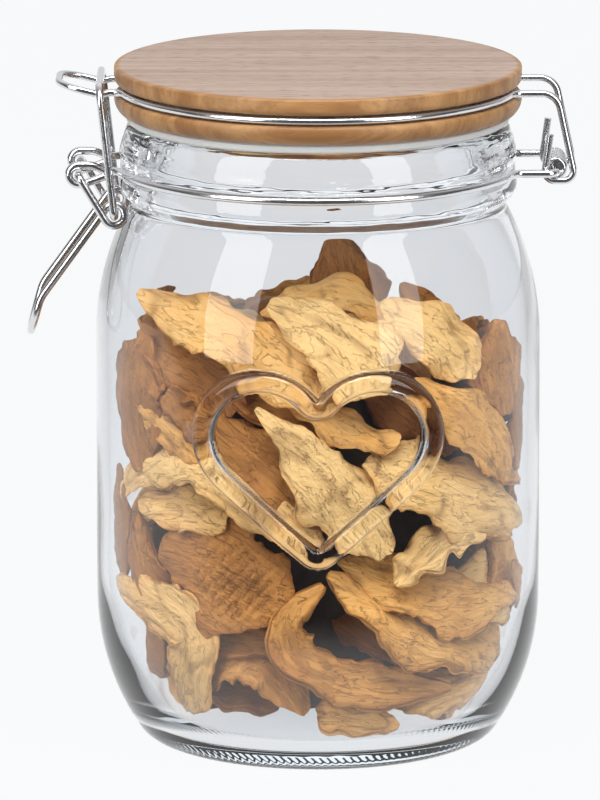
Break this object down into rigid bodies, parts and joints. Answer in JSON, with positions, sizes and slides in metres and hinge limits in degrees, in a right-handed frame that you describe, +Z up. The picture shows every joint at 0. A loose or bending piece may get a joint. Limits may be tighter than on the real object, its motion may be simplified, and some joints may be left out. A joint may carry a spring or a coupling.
{
  "type": "clip-top glass storage jar",
  "caption": "Round glass storage jar with a raised heart, wooden lid, soft gasket and wire clip latch, filled with dried fruit slices.",
  "frame": {"origin": "middle of the base, in the plane the jar stands on", "axes": "+Z up along the jar's axis; the heart faces -Y; the lid's hinge is at +X and the latch at -X"},
  "size_m": [0.1356, 0.1117, 0.169],
  "materials": {
    "clear_glass": "clear, smooth",
    "steel_wire": "bright polished wire",
    "dried_fruit": "matte, wrinkled, leathery",
    "lid_wood": "fine sanded, unvarnished",
    "silicone": "translucent, matte"
  },
  "bodies": {
    "jar": {"jar_glass": "clear_glass", "neck_wire": "steel_wire", "fruit_heap": "dried_fruit"},
    "lid": {"lid_wood": "lid_wood", "gasket": "silicone", "lid_wire": "steel_wire"},
    "lever": {"latch_lever": "steel_wire"},
    "link": {"latch_link": "steel_wire"}
  },
  "joints": [
    {"name": "lid_hinge", "type": "hinge", "parent": "jar", "child": "lid", "pos_m": [0.0584, 0, 0.144], "axis": [0, 1, 0], "range_deg": [0, 110]},
    {"name": "lever_turn", "type": "hinge", "parent": "jar", "child": "lever", "pos_m": [-0.0588, 0, 0.143], "axis": [0, 1, 0], "range_deg": [0, 110]},
    {"name": "link_swing", "type": "hinge", "parent": "lever", "child": "link", "pos_m": [-0.05001, 0, 0.1332], "axis": [0, -1, 0], "range_deg": [0, 115.5]}
  ],
  "couplings": [
    {"joint": "lever_turn", "follows": "lid_hinge", "ratio": 1},
    {"joint": "link_swing", "follows": "lid_hinge", "ratio": 1.05}
  ]
}
